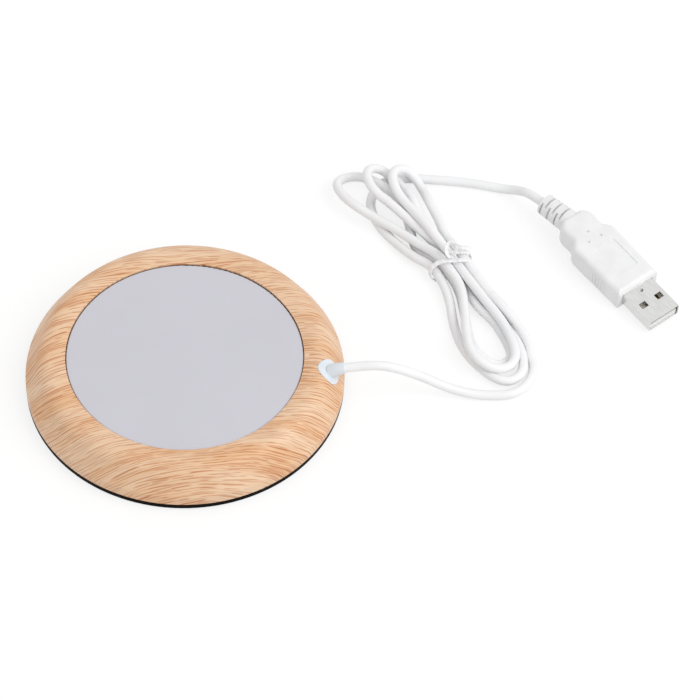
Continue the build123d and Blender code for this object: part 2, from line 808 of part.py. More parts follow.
mouth_plane = Plane(grip_plane.origin, x_dir=grip_plane.y_dir, z_dir=grip_plane.x_dir)
inner_width = shell_width - 2 * shell_wall
inner_height = shell_height - 2 * shell_wall
tongue_width = inner_width - 2 * (shell_corner - shell_wall)
with BuildPart() as shell:
    with BuildSketch(mouth_plane.offset(-shell_buried)):
        RectangleRounded(shell_width, shell_height, shell_corner)
        RectangleRounded(inner_width, inner_height, shell_corner - shell_wall, mode=Mode.SUBTRACT)
    extrude(amount=shell_buried + shell_length)
    with BuildSketch(grip_plane):
        with Locations(
            (shell_length - window_from_tip, window_side),
            (shell_length - window_from_tip, -window_side),
        ):
            Rectangle(window_length, window_width)
    extrude(amount=shell_height, both=True, mode=Mode.SUBTRACT)
    with BuildSketch(grip_plane):
        with Locations((latch_place, 0)):
            Circle(latch_dia / 2)
    extrude(amount=shell_height, mode=Mode.SUBTRACT)
save(shell, "plug_shell")

# Insulator: a block that fills the root of the shell, and the tongue in its lower half

tongue_floor = -inner_height / 2 + fit_gap
tongue_top = tongue_floor + tongue_height
with BuildPart() as tongue:
    with BuildSketch(grip_plane.offset(tongue_floor)):
        with Locations((-shell_buried, 0)):
            Rectangle(
                shell_buried + shell_length - tongue_from_tip,
                tongue_width,
                align=(Align.MIN, Align.CENTER),
            )
    extrude(amount=tongue_height)
    with BuildSketch(grip_plane.offset(tongue_floor)):
        with Locations((-shell_buried, 0)):
            Rectangle(
                shell_buried + insulator_step,
                tongue_width,
                align=(Align.MIN, Align.CENTER),
            )
    extrude(amount=inner_height - 2 * fit_gap)
    with BuildSketch(grip_plane.offset(tongue_top)):
        for across, length in contact_rows:
            with Locations((shell_length - contact_from_tip + fit_gap, across)):
                Rectangle(
                    length + 2 * fit_gap,
                    contact_width + 2 * fit_gap,
                    align=(Align.MAX, Align.CENTER),
                )
    extrude(amount=-contact_thickness, mode=Mode.SUBTRACT)
save(tongue, "plug_tongue")

for number, (across, length) in enumerate(contact_rows, start=1):
    with BuildPart() as contact:
        with BuildSketch(grip_plane.offset(tongue_top - contact_thickness)):
            with Locations((shell_length - contact_from_tip, across)):
                Rectangle(length, contact_width, align=(Align.MAX, Align.CENTER))
        extrude(amount=contact_thickness)
    save(contact, f"plug_contact_{number}")

print("cord exit", cord_exit, "hank centre", hank_plane.origin, "relief end", relief_end)
print("outer diameter", round(2 * outer_radius, 2), "crown run", round(crown_run, 2))
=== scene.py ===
from math import cos, pi, radians, sin

import bmesh
import bpy
from bpy.props import FloatProperty, FloatVectorProperty, PointerProperty
from mathutils import Matrix, Vector


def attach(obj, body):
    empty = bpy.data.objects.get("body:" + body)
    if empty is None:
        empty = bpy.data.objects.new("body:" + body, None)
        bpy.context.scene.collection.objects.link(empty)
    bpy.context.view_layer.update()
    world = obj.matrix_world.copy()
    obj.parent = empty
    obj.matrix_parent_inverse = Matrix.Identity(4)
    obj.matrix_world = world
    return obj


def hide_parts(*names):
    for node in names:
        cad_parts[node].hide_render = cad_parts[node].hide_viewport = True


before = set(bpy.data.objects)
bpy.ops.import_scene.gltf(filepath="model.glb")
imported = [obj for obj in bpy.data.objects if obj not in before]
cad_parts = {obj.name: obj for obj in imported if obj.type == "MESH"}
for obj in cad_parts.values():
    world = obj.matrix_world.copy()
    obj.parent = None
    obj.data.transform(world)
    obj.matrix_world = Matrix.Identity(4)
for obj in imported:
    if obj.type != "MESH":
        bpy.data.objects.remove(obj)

bl_info = {
    "name": "Electric Mug Warmer",
    "version": (1, 0, 0),
    "blender": (4, 5, 0),
    "location": "View3D > Sidebar > Warmer",
    "description": "Finishes, cord and stage for an electric mug warmer",
    "category": "Object",
}

MM = 0.001


def linear(red, green, blue):
    """Screen values from 0 to 255 as the linear colour that a shader takes."""
    return tuple(
        (v / 255 / 12.92) if v <= 10 else ((v / 255 + 0.055) / 1.055) ** 2.4
        for v in (red, green, blue)
    )


class WarmerSettings(bpy.types.PropertyGroup):
    """Sizes and colours of the mug warmer's visible pieces"""

    cord_diameter: FloatProperty(
        name="Cord diameter",
        description="Outside diameter of the cord's jacket",
        default=3.0 * MM,
        min=1.0 * MM,
        max=6.0 * MM,
        unit="LENGTH",
    )
    tie_width: FloatProperty(
        name="Tie width",
        description="Width of the twist tie's flat ribbon",
        default=1.9 * MM,
        min=1.0 * MM,
        max=5.0 * MM,
        unit="LENGTH",
    )
    tie_thickness: FloatProperty(
        name="Tie thickness",
        description="Thickness of the twist tie's flat ribbon",
        default=0.55 * MM,
        min=0.2 * MM,
        max=1.0 * MM,
        unit="LENGTH",
    )
    wood_light: FloatVectorProperty(
        name="Wood, light",
        description="Pale ground between the wood's streaks",
        subtype="COLOR",
        default=linear(239, 206, 173),
    )
    wood_warm: FloatVectorProperty(
        name="Wood, warm",
        description="Broad warm bands in the wood",
        subtype="COLOR",
        default=linear(232, 185, 141),
    )
    wood_dark: FloatVectorProperty(
        name="Wood, dark",
        description="Fine dark grain lines and pores",
        subtype="COLOR",
        default=linear(192, 122, 74),
    )
    plate_grey: FloatVectorProperty(
        name="Plate",
        description="Coating of the heated plate",
        subtype="COLOR",
        default=linear(206, 205, 213),
    )
    base_black: FloatVectorProperty(
        name="Base",
        description="Plastic of the base cover",
        subtype="COLOR",
        default=linear(14, 9, 7),
    )
    cord_white: FloatVectorProperty(
        name="Cord",
        description="Jacket of the cord and paper of the twist tie",
        subtype="COLOR",
        default=linear(246, 246, 247),
    )
    grommet_pale: FloatVectorProperty(
        name="Grommet",
        description="Cord grommet in the ring's slope",
        subtype="COLOR",
        default=linear(228, 235, 241),
    )
    plug_white: FloatVectorProperty(
        name="Plug moulding",
        description="Colour of the plug's moulding",
        subtype="COLOR",
        default=linear(240, 240, 241),
    )
    shell_nickel: FloatVectorProperty(
        name="Plug shell",
        description="Nickel plating of the plug's shell",
        subtype="COLOR",
        default=linear(224, 224, 223),
    )


def settings():
    """The sizes and colours that are set in this scene."""
    return bpy.context.scene.mug_warmer


# Materials


class Nodes:
    """A new material with its surface shader, and short calls for the nodes before it"""

    def __init__(self, name, roughness, metallic=0.0):
        self.material = bpy.data.materials.new(name)
        self.material.use_nodes = True
        self.tree = self.material.node_tree
        self.shader = self.tree.nodes["Principled BSDF"]
        self.shader.inputs["Roughness"].default_value = roughness
        self.shader.inputs["Metallic"].default_value = metallic
        self.coords = self.add("ShaderNodeTexCoord").outputs["Object"]

    def add(self, kind, **values):
        node = self.tree.nodes.new(kind)
        for key, value in values.items():
            setattr(node, key, value)
        return node

    def join(self, source, target):
        self.tree.links.new(source, target)

    def calc(self, operation, first, second=0.0):
        """The result of one sum on numbers or on other nodes' results."""
        node = self.add("ShaderNodeMath", operation=operation)
        for socket, value in zip(node.inputs, (first, second)):
            if isinstance(value, (int, float)):
                socket.default_value = value
            else:
                self.join(value, socket)
        return node.outputs[0]

    def scaled(self, scale, source=None):
        """Places multiplied by a factor for each axis."""
        node = self.add("ShaderNodeMapping")
        node.inputs["Scale"].default_value = scale
        self.join(source or self.coords, node.inputs["Vector"])
        return node.outputs["Vector"]

    def turned(self, angle):
        """Places on the object turned about its upright axis, in degrees."""
        node = self.add("ShaderNodeMapping")
        node.inputs["Rotation"].default_value[2] = radians(angle)
        self.join(self.coords, node.inputs["Vector"])
        return node.outputs["Vector"]

    def noise(self, vector, scale=1.0, detail=2.0):
        """Cloudy noise with about this many cells per metre."""
        node = self.add("ShaderNodeTexNoise")
        node.inputs["Scale"].default_value = scale
        node.inputs["Detail"].default_value = detail
        self.join(vector, node.inputs["Vector"])
        return node.outputs["Fac"]

    def ramp(self, source, low, high, start=0.0, end=1.0):
        """A smooth step from start, where the source is low, to end, where it is high."""
        node = self.add("ShaderNodeMapRange", interpolation_type="SMOOTHSTEP")
        node.inputs["From Min"].default_value = low
        node.inputs["From Max"].default_value = high
        node.inputs["To Min"].default_value = start
        node.inputs["To Max"].default_value = end
        self.join(source, node.inputs["Value"])
        return node.outputs["Result"]

    def mix(self, share, first, second):
        """The first colour, and the second one in its place by this share."""
        node = self.add("ShaderNodeMix", data_type="RGBA")
        self.join(share, node.inputs["Factor"])
        colours = [s for s in node.inputs if s.type == "RGBA"]
        for socket, value in zip(colours, (first, second)):
            if isinstance(value, bpy.types.NodeSocket):
                self.join(value, socket)
            else:
                socket.default_value = (*value[:3], 1.0)
        return [s for s in node.outputs if s.type == "RGBA"][0]

    def colour(self, source):
        self.join(source, self.shader.inputs["Base Color"])

    def clouded(self, colour, darkest, pattern):
        """The plain colour, down to its darkest share where the pattern is low."""
        shade = tuple(c * darkest for c in colour[:3])
        self.colour(self.mix(self.ramp(pattern, 0.3, 0.7), shade, colour))

    def bump(self, source, depth):
        node = self.add("ShaderNodeBump")
        node.inputs["Strength"].default_value = 1.0
        node.inputs["Distance"].default_value = depth
        self.join(source, node.inputs["Height"])
        self.join(node.outputs["Normal"], self.shader.inputs["Normal"])


def moulded(name, colour, roughness, gloss=0.5, grain=1800.0, depth=0.01 * MM):
    """Moulded plastic or rubber: faintly cloudy colour, and a texture of this grain and depth."""
    nodes = Nodes(name, roughness)
    nodes.shader.inputs["Specular IOR Level"].default_value = gloss
    nodes.clouded(colour, 0.94, nodes.noise(nodes.coords, 160.0, detail=3.0))
    nodes.bump(nodes.noise(nodes.coords, grain), depth)
    return nodes.material


def metal(name, colour, roughness, marks_per_metre, turn=0.0):
    """Bare or plated metal with fine marks, drawn out along an axis and turned in the plan."""
    nodes = Nodes(name, roughness, metallic=1.0)
    marks = nodes.noise(nodes.scaled(marks_per_metre, nodes.turned(turn)), detail=3.0)
    nodes.clouded(colour, 0.9, marks)
    uneven = nodes.ramp(marks, 0.2, 0.8, roughness * 0.75, roughness * 1.3)
    nodes.join(uneven, nodes.shader.inputs["Roughness"])
    nodes.bump(marks, 0.004 * MM)
    return nodes.material


# Grain of the wood film. A line crests to the right of the ring's middle, and draws in to the
# middle as it goes down the ring's slope, at the front and at the rear alike.

GRAIN_CREST = 33.0 * MM
GRAIN_BOW = 2.6  # times the square of the distance from the crest, in metres
GRAIN_DRAW = 0.36  # how far it draws in, as a share of the height
GRAIN_DRAW_LOSS = 3.2  # less of that share for each metre to the right
GRAIN_LOW = 6.4 * MM  # below this height it draws in by more
GRAIN_LOW_DRAW = 0.15
GRAIN_CHANGE = 25.0 * MM  # half the depth of the stretch in which front changes to rear
GRAIN_WANDER = 7.0 * MM
LINE_PITCH = 0.92 * MM
LINE_DRIFT = 24.0  # most that a line comes out of step, in radians of its pitch


def grain_places(nodes):
    """How far across the grain a point lies, and its place along and across the film."""
    split = nodes.add("ShaderNodeSeparateXYZ")
    nodes.join(nodes.coords, split.inputs[0])
    x, y, z = split.outputs
    aside = nodes.calc("SUBTRACT", x, GRAIN_CREST)
    bow = nodes.calc("MULTIPLY", nodes.calc("MULTIPLY", aside, aside), GRAIN_BOW)
    share = nodes.calc("SUBTRACT", GRAIN_DRAW, nodes.calc("MULTIPLY", x, GRAIN_DRAW_LOSS))
    draw = nodes.calc("MULTIPLY", z, share)
    low = nodes.calc("MINIMUM", nodes.calc("SUBTRACT", z, GRAIN_LOW), 0.0)
    draw = nodes.calc("ADD", draw, nodes.calc("MULTIPLY", low, GRAIN_LOW_DRAW))
    inwards = nodes.calc("MULTIPLY", draw, nodes.ramp(y, -GRAIN_CHANGE, GRAIN_CHANGE, 1.0, -1.0))
    wander = nodes.calc("MULTIPLY", nodes.noise(nodes.scaled((16.0, 26.0, 0.0))), GRAIN_WANDER)
    across = nodes.calc("ADD", nodes.calc("ADD", y, bow), nodes.calc("ADD", inwards, wander))
    place = nodes.add("ShaderNodeCombineXYZ")
    nodes.join(x, place.inputs[0])
    nodes.join(across, place.inputs[1])
    return across, place.outputs[0]


def wood_grain(name, light, warm, dark):
    """Printed wood film: warm bands and streaks, and fine broken lines and pores on them."""
    nodes = Nodes(name, roughness=0.45)
    across, place = grain_places(nodes)

    def pattern(along, sideways, detail=1.0):
        """Noise with this many cells per metre along the grain and across it."""
        return nodes.noise(nodes.scaled((along, sideways, 1.0), place), detail=detail)

    bands = pattern(22.0, 130.0, 2.0)
    streaks = pattern(26.0, 700.0, 2.0)
    drift = pattern(30.0, 260.0)
    breaks = pattern(150.0, 900.0)
    pores = pattern(90.0, 2700.0)
    ground = nodes.mix(nodes.ramp(bands, 0.34, 0.68), light, warm)
    ground = nodes.mix(nodes.ramp(streaks, 0.5, 0.68, 0.0, 0.25), ground, warm)
    steps = nodes.calc("MULTIPLY", across, 2 * pi / LINE_PITCH)
    phase = nodes.calc("ADD", steps, nodes.calc("MULTIPLY", drift, LINE_DRIFT))
    lines = nodes.ramp(nodes.calc("COSINE", phase), 0.35, 0.95)
    broken = nodes.calc("MULTIPLY", lines, nodes.ramp(breaks, 0.42, 0.54))
    marks = nodes.calc("MAXIMUM", broken, nodes.ramp(pores, 0.53, 0.61, 0.0, 0.6))
    strength = nodes.calc("MULTIPLY", marks, nodes.ramp(bands, 0.35, 0.6, 0.7, 1.0))
    nodes.colour(nodes.mix(strength, ground, dark))
    nodes.bump(nodes.calc("SUBTRACT", streaks, strength), 0.02 * MM)
    return nodes.material


def coated_plate(name, colour):
    """Matt coating with a barely visible orange peel."""
    nodes = Nodes(name, roughness=0.55)
    nodes.clouded(colour, 0.975, nodes.noise(nodes.coords, 45.0))
    nodes.bump(nodes.noise(nodes.coords, 2600.0), 0.006 * MM)
    return nodes.material


def jacket(name, colour):
    """Soft white jacket of a cord or tie, with a faint texture."""
    nodes = Nodes(name, roughness=0.36)
    nodes.clouded(colour, 0.96, nodes.noise(nodes.coords, 120.0))
    nodes.bump(nodes.noise(nodes.coords, 900.0, detail=3.0), 0.012 * MM)
    return nodes.material


def paint(node, material):
    """Gives a node of the frame this one material."""
    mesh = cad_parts[node].data
    mesh.materials.clear()
    mesh.materials.append(material)


def mesh_piece(name, bm, smooth=True):
    """Turns a bmesh into an object in the scene."""
    mesh = bpy.data.meshes.new(name)
    bm.to_mesh(mesh)
    bm.free()
    for polygon in mesh.polygons:
        polygon.use_smooth = smooth
    piece = bpy.data.objects.new(name, mesh)
    bpy.context.scene.collection.objects.link(piece)
    return piece


def finished(piece, material, slot, *nodes):
    """Gives a new piece its material, hangs it from the root, and hides the nodes that it stands for."""
    piece.data.materials.append(material)
    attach(piece, "root")
    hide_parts(*nodes)


# Route of the cord in millimetres: the same points as the model's own cord outside the hank,
# and the turns of the hank between them

CORD_EXIT = Vector((49.310, -4.611, 14.235))
FLOOR = 1.55  # height of the middle of a strand that lies on the table
FIRST_RUN = Vector((7.903, 0.553, 1.113))
# Places from the cord's exit in the plan, and above FLOOR
LEAD = [(15.2, 0.8, 12.5), (24.3, 1.2, 7.3), (32.8, 0.7, 2.1), (40.8, 0.0, 0.1)]
TAIL = [(27.8, 87.5, 0), (34.8, 87.0, 0), (42.3, 85.8, 0), (50.0, 83.9, 0.1), (54.9, 81.4, 2.5)]
RELIEF_END = Vector((112.125, 68.450, 7.276))
RELIEF_RUN = Vector((4.338, -4.145, 0.0))
PLUG_TURN = 43.7  # the plug's axis lies this far clockwise of the X axis, in degrees
HANK_CENTRE = Vector((81.610, 46.789, 0.0))
HANK_TURN = -57.7
# The lead's bend round the hank's tip: its middle by distance and bearing from the hank's centre
WRAP_CENTRE = (43.2, -69.2)
WRAP_RADIUS = 11.38
WRAP_HEADINGS = (-77.2, -51.6, -26.1, -0.5, 25.0)

# The hank in its own frame: along it, across it, height. A turn is a loop out to one end and
# back: how far it reaches, then its places across and its heights, from tie to tie. A least-squares
# fit settled all the places but those at the tie, to keep the strands about a cord's width apart.
TIE_SIDE = 3.0  # a turn begins and ends this far from the middle of the tie
TOP_ROW = 6.1  # heights of the strands under the tie
LOW_ROW = 3.05
# Shares of its reach at which a turn's places are given
STATIONS = (0.24, 0.44, 0.64, 0.82, 0.97, 1.03, 1.03, 0.97, 0.82, 0.64, 0.44, 0.24)
LEAD_IN = [
    (39.2, 5.1, 1.7),
    (29.9, 5.0, 4.1),
    (20.3, 4.2, 5.1),
    (17.8, 4.1, 4.3),
    (TIE_SIDE, 4.2, TOP_ROW),
]
TURNS = [
    (
        -37.2,
        (4.2, TOP_ROW),
        (4.6, 6.7, 7.7, 10.0, 9.7, 7.6, 4.4, 1.4, -0.4, 0.1, 0.3, 0.7),
        (4.3, 4.3, 5.0, 1.9, 4.2, 6.5, 8.2, 8.8, 8.2, 7.1, 8.2, 7.8),
        (1.1, TOP_ROW),
    ),
    (
        44.2,
        (1.1, TOP_ROW),
        (1.1, 1.1, 1.4, 0.2, -2.1, -5.3, -9.2, -12.9, -15.1, -11.5, -6.2, -1.9),
        (5.3, 5.0, 4.6, 4.4, 4.8, 4.3, 4.5, 5.4, 7.0, 6.7, 4.4, 4.6),
        (-2.0, TOP_ROW),
    ),
    (
        -46.3,
        (-2.0, TOP_ROW),
        (-4.5, -7.3, -11.5, -14.6, -13.8, -10.8, -6.8, -3.4, -2.0, 0.8, -1.7, -5.4),
        (4.7, 4.4, 4.7, 5.6, 4.2, 2.8, 2.0, 2.5, 5.4, 4.8, 3.3, 1.0),
        (-1.9, LOW_ROW),
    ),
    (
        41.2,
        (-1.9, LOW_ROW),
        (-2.1, -5.5, -9.3, -12.6, -11.4, -8.6, -4.9, -1.8, -0.4, 0.2, -1.4, 0.8),
        (1.6, 1.5, 1.8, 4.9, 3.9, 2.6, 1.7, 1.5, 1.5, 2.0, 2.5, 1.1),
        (1.2, LOW_ROW),
    ),
    (
        -41.8,
        (1.2, LOW_ROW),
        (0.0, -2.1, -3.7, -6.7, -5.4, -2.5, 0.7, 3.1, 4.3, 3.6, 1.2, 2.0),
        (4.9, 6.0, 6.7, 8.8, 8.8, 7.9, 6.2, 4.4, 3.6, 5.7, 5.0, 0.8),
        (4.3, LOW_ROW),
    ),
    (
        48.0,
        (4.3, LOW_ROW),
        (5.7, 3.6, 3.1, 1.6, -1.5, -4.7, -8.8, -12.0, -13.6, -14.1, -11.5, -6.8),
        (1.4, 1.6, 1.5, 1.9, 3.2, 2.7, 2.3, 2.5, 1.8, 1.7, 1.7, 2.3),
        (-5.0, LOW_ROW),
    ),
]
LEAD_OUT = [
    (-TIE_SIDE, -5.0, LOW_ROW),
    (-8.1, -7.8, 2.9),
    (-19.3, -9.4, 1.7),
    (-26.5, -9.7, 1.5),
    (-33.9, -8.1, 1.6),
    (-38.0, -4.5, 1.5),
    (-40.1, -0.5, 1.6),
    (-40.4, 3.1, 1.5),
    (-37.7, 9.3, 1.5),
]


def heading(azimuth):
    """A direction in the plan, by its angle from the X axis in degrees."""
    return Vector((cos(radians(azimuth)), sin(radians(azimuth)), 0.0))


def from_exit(x, y, rise):
    """A place by its distance from the cord's exit in the plan and its height above FLOOR."""
    return Vector((CORD_EXIT.x + x, CORD_EXIT.y + y, FLOOR + rise))


def in_hank(along, across, height):
    """A place in the hank's own frame as a place on the table."""
    side = heading(HANK_TURN + 90)
    return HANK_CENTRE + heading(HANK_TURN) * along + side * across + Vector((0, 0, height))


def cord_route():
    """The cord's points, from the grommet round the hank to the plug."""
    points = [CORD_EXIT, CORD_EXIT + FIRST_RUN]
    points += [from_exit(*place) for place in LEAD]
    distance, bearing = WRAP_CENTRE
    middle = HANK_CENTRE + heading(bearing) * distance + Vector((0, 0, FLOOR))
    points += [middle + heading(azimuth) * WRAP_RADIUS for azimuth in WRAP_HEADINGS]
    points += [in_hank(*place) for place in LEAD_IN]
    for reach, start, across, heights, end in TURNS:
        side = TIE_SIDE if reach > 0 else -TIE_SIDE
        points.append(in_hank(side, *start))
        for station, place, height in zip(STATIONS, across, heights):
            points.append(in_hank(reach * station, place, height))
        points.append(in_hank(side, *end))
    points += [in_hank(*place) for place in LEAD_OUT]
    points += [from_exit(*place) for place in TAIL]
    points += [RELIEF_END - RELIEF_RUN, RELIEF_END]
    return points


# Camera: place in metres, angles in degrees, lens and sensor in millimetres

CAMERA_PLACE = Vector((0.050964926, -1.161411288, 1.455659408))
CAMERA_DOWN = 51.079075  # how far it looks down, in degrees
CAMERA_ROLL = 0.666252
CAMERA_LENS = 308.571
CAMERA_SENSOR = 36.0
CAMERA_FAR = 20.0


class WARMER_OT_camera(bpy.types.Operator):
    """Sets up the camera: a long lens, high in front of the warmer"""

    bl_idname = "warmer.camera"
    bl_label = "Camera"

    def execute(self, context):
        data = bpy.data.cameras.new("Camera")
        data.lens = CAMERA_LENS
        data.sensor_width = CAMERA_SENSOR
        data.clip_end = CAMERA_FAR
        camera = bpy.data.objects.new("Camera", data)
        tilt = Matrix.Rotation(radians(90.0 - CAMERA_DOWN), 4, "X")
        roll = Matrix.Rotation(radians(CAMERA_ROLL), 4, "Z")
        camera.matrix_world = Matrix.Translation(CAMERA_PLACE) @ tilt @ roll
        context.scene.collection.objects.link(camera)
        context.scene.camera = camera
        return {"FINISHED"}


class WARMER_OT_power_cord(bpy.types.Operator):
    """Makes the cord as one line, from the grommet through the tied hank to the plug"""

    bl_idname = "warmer.power_cord"
    bl_label = "Power cord"

    def execute(self, context):
        sizes = settings()
        curve = bpy.data.curves.new("power_cord", "CURVE")
        curve.dimensions = "3D"
        curve.bevel_depth = sizes.cord_diameter / 2
        curve.bevel_resolution = 6
        curve.resolution_u = 8
        curve.use_fill_caps = True
        points = cord_route()
        spline = curve.splines.new("NURBS")
        spline.points.add(len(points) - 1)
        for point, place in zip(spline.points, points):
            point.co = (*(place * MM), 1.0)
        spline.order_u = 3
        spline.use_endpoint_u = True
        cord = bpy.data.objects.new("power_cord", curve)
        context.scene.collection.objects.link(cord)
        finished(
            cord,
            jacket("Cord jacket", sizes.cord_white),
            "cord_white",
            "cord_lead",
            "cord_hank",
            "cord_exit",
        )
        return {"FINISHED"}


# Twist tie, in the hank's frame: places along its ribbon, each with the ribbon's broad direction.
# From its lower end it goes round the hank's waist, once round the knot's loop and out on top.

TIE_WRAP = [
    ((6.2, 4.6, 8.7), (0.85, -0.5, 0.1)),
    ((5.2, 2.8, 8.8), (0.85, -0.5, 0.1)),
    ((4.1, 0.7, 8.8), (0.85, -0.5, 0.1)),
    ((2.9, -1.2, 8.6), (0.85, -0.5, 0.0)),
    ((1.6, -2.9, 8.1), (0.9, -0.4, 0.0)),
    ((0.6, -4.6, 7.1), (1.0, -0.2, 0.0)),
    ((0.2, -6.2, 5.9), (1.0, 0.0, 0.1)),
    ((0.4, -7.1, 4.6), (1.0, 0.0, 0.2)),
    ((0.9, -7.4, 3.2), (1.0, 0.0, 0.3)),
    ((1.5, -7.1, 2.0), (1.0, 0.0, 0.3)),
    ((2.2, -6.1, 1.1), (1.0, 0.1, 0.1)),
    ((2.6, -4.0, 0.9), (1.0, 0.1, 0.0)),
    ((2.6, -1.0, 0.9), (1.0, 0.1, 0.0)),
    ((2.4, 2.0, 0.9), (1.0, 0.1, 0.0)),
    ((2.1, 4.8, 1.0), (1.0, 0.1, 0.0)),
    ((2.0, 6.3, 2.0), (1.0, 0.0, 0.0)),
    ((2.1, 6.8, 3.8), (1.0, 0.0, 0.0)),
    ((2.2, 6.7, 5.6), (1.0, 0.0, 0.0)),
    ((2.2, 6.3, 7.1), (1.0, -0.2, 0.0)),
    ((1.8, 5.0, 8.0), (0.9, -0.4, 0.0)),
    ((1.1, 3.4, 8.1), (0.85, -0.5, 0.0)),
    ((0.2, 1.6, 8.1), (0.85, -0.5, 0.1)),
    ((-0.7, 0.2, 8.3), (0.85, -0.4, 0.3)),
    ((-1.0, -0.7, 8.8), (0.7, 0.1, 0.6)),
]
TIE_END = [
    ((1.2, 3.2, 11.4), (0.6, -0.3, 0.7)),
    ((1.8, 5.0, 10.2), (0.8, -0.4, 0.4)),
    ((2.6, 6.8, 9.3), (0.85, -0.5, 0.1)),
]

# The knot's loop stands up off the hank, in the plane of its ACROSS and UP directions.
LOOP_CENTRE = Vector((0.3, 0.6, 10.0))
LOOP_ACROSS = Vector((0.54, 0.84, 0.0))
LOOP_UP = Vector((-0.66, 0.42, 0.63))
LOOP_WIDTH = 2.9
LOOP_HEIGHT = 4.6
LOOP_RISE = 1.6  # from one turn to the next
LOOP_STATIONS = 16
LOOP_STEP = 30.0  # from one station to the next, in degrees


def tie_loop():
    """The knot's loop: a turn and a quarter, from its left side over the top and round again."""
    facing = LOOP_ACROSS.cross(LOOP_UP)
    stations = []
    for number in range(LOOP_STATIONS):
        angle = LOOP_STEP * number
        turn = radians(-180.0 - angle)
        out = LOOP_ACROSS * cos(turn) * LOOP_WIDTH / 2 + LOOP_UP * sin(turn) * LOOP_HEIGHT / 2
        place = LOOP_CENTRE + out + facing * (LOOP_RISE * angle / 360.0)
        broad = facing * 0.75 + out.normalized() * 0.65
        stations.append((place, broad))
    return stations


def ribbon_frames(path):
    """A frame at each place of the ribbon, with its broad side, its thin side and its run."""
    places = [in_hank(*place) * MM for place, _ in path]
    turn = Matrix.Rotation(radians(HANK_TURN), 3, "Z")
    frames = []
    for number, (_, broad) in enumerate(path):
        before = places[max(number - 1, 0)]
        after = places[min(number + 1, len(places) - 1)]
        run = (after - before).normalized()
        broad = turn @ Vector(broad)
        broad = (broad - run * broad.dot(run)).normalized()
        station = Matrix((broad, run.cross(broad), run)).transposed().to_4x4()
        station.translation = places[number]
        frames.append(station)
    return frames


class WARMER_OT_twist_tie(bpy.types.Operator):
    """Makes the twist tie: a flat ribbon round the hank's waist, with a turned knot and two tails"""

    bl_idname = "warmer.twist_tie"
    bl_label = "Twist tie"

    def execute(self, context):
        sizes = settings()
        frames = ribbon_frames(TIE_WRAP + tie_loop() + TIE_END)
        bm = bmesh.new()
        # A round section, one across, flattened to the ribbon's width and thickness
        bmesh.ops.create_circle(bm, cap_ends=True, segments=8, radius=0.5)
        bmesh.ops.scale(bm, vec=(sizes.tie_width, sizes.tie_thickness, 1.0), verts=bm.verts)
        bmesh.ops.transform(bm, matrix=frames[0], verts=bm.verts)
        end = bm.faces[:]
        for before, after in zip(frames, frames[1:]):
            # The face that is extruded stays, so each place between the ends has a wall inside
            grown = bmesh.ops.extrude_face_region(bm, geom=end)["geom"]
            moved = [part for part in grown if isinstance(part, bmesh.types.BMVert)]
            bmesh.ops.transform(bm, matrix=after @ before.inverted(), verts=moved)
            end = [part for part in grown if isinstance(part, bmesh.types.BMFace)]
        bmesh.ops.recalc_face_normals(bm, faces=bm.faces)
        tie = mesh_piece("twist_tie_ribbon", bm)
        smoothing = tie.modifiers.new("Smoothing", "SUBSURF")
        smoothing.levels = smoothing.render_levels = 2
        finished(tie, jacket("Tie paper", sizes.cord_white), "tie_white", "twist_tie")
        return {"FINISHED"}


class WARMER_OT_wood_ring(bpy.types.Operator):
    """Gives the ring its printed wood finish"""

    bl_idname = "warmer.wood_ring"
    bl_label = "Wood ring"

    def execute(self, context):
        look = settings()
        wood = wood_grain("Wood", look.wood_light, look.wood_warm, look.wood_dark)
        paint("wood_grain_ring", wood)
        return {"FINISHED"}


class WARMER_OT_plate(bpy.types.Operator):
    """Finishes the heated plate and the seal round it"""

    bl_idname = "warmer.plate"
    bl_label = "Heating plate"

    def execute(self, context):
        paint("heating_plate", coated_plate("Plate coating", settings().plate_grey))
        paint("plate_seal", moulded("Seal rubber", linear(84, 74, 66), 0.7, gloss=0.1))
        return {"FINISHED"}


class WARMER_OT_base(bpy.types.Operator):
    """Finishes the base, its screws and its feet"""

    bl_idname = "warmer.base"
    bl_label = "Base"

    def execute(self, context):
        paint("base_cover", moulded("Base plastic", settings().base_black, 0.5, gloss=0.04))
        paint("base_screws", metal("Screw steel", linear(190, 190, 188), 0.35, (900, 900, 200)))
        rubber = moulded("Foot rubber", linear(38, 38, 40), 0.7)
        for side in ("rear_right", "rear_left", "front_left", "front_right"):
            paint(f"{side}_foot", rubber)
        return {"FINISHED"}


class WARMER_OT_inside(bpy.types.Operator):
    """Finishes the parts under the plate: heater, wiring, pad and carrier"""

    bl_idname = "warmer.inside"
    bl_label = "Inside"

    def execute(self, context):
        paint("heater_film", moulded("Film amber", linear(176, 104, 32), 0.3))
        tinned = metal("Tinned copper", linear(214, 212, 206), 0.3, (700, 700, 300))
        paint("solder_tag_red", tinned)
        paint("solder_tag_black", tinned)
        paint("thermal_cutoff", moulded("Cut-off case", linear(226, 222, 208), 0.45))
        paint("splice_sleeve", moulded("Sleeve", linear(226, 224, 216), 0.35))
        paint("red_wire", moulded("Red wire", linear(176, 28, 24), 0.4))
        paint("black_wire", moulded("Black wire", linear(26, 26, 28), 0.4))
        fibre = moulded("Pad fibre", linear(228, 222, 206), 0.9, gloss=0.3, grain=900.0, depth=0.08 * MM)
        paint("insulation_pad", fibre)
        paint("inner_carrier", moulded("Carrier plastic", linear(196, 196, 194), 0.5))
        return {"FINISHED"}


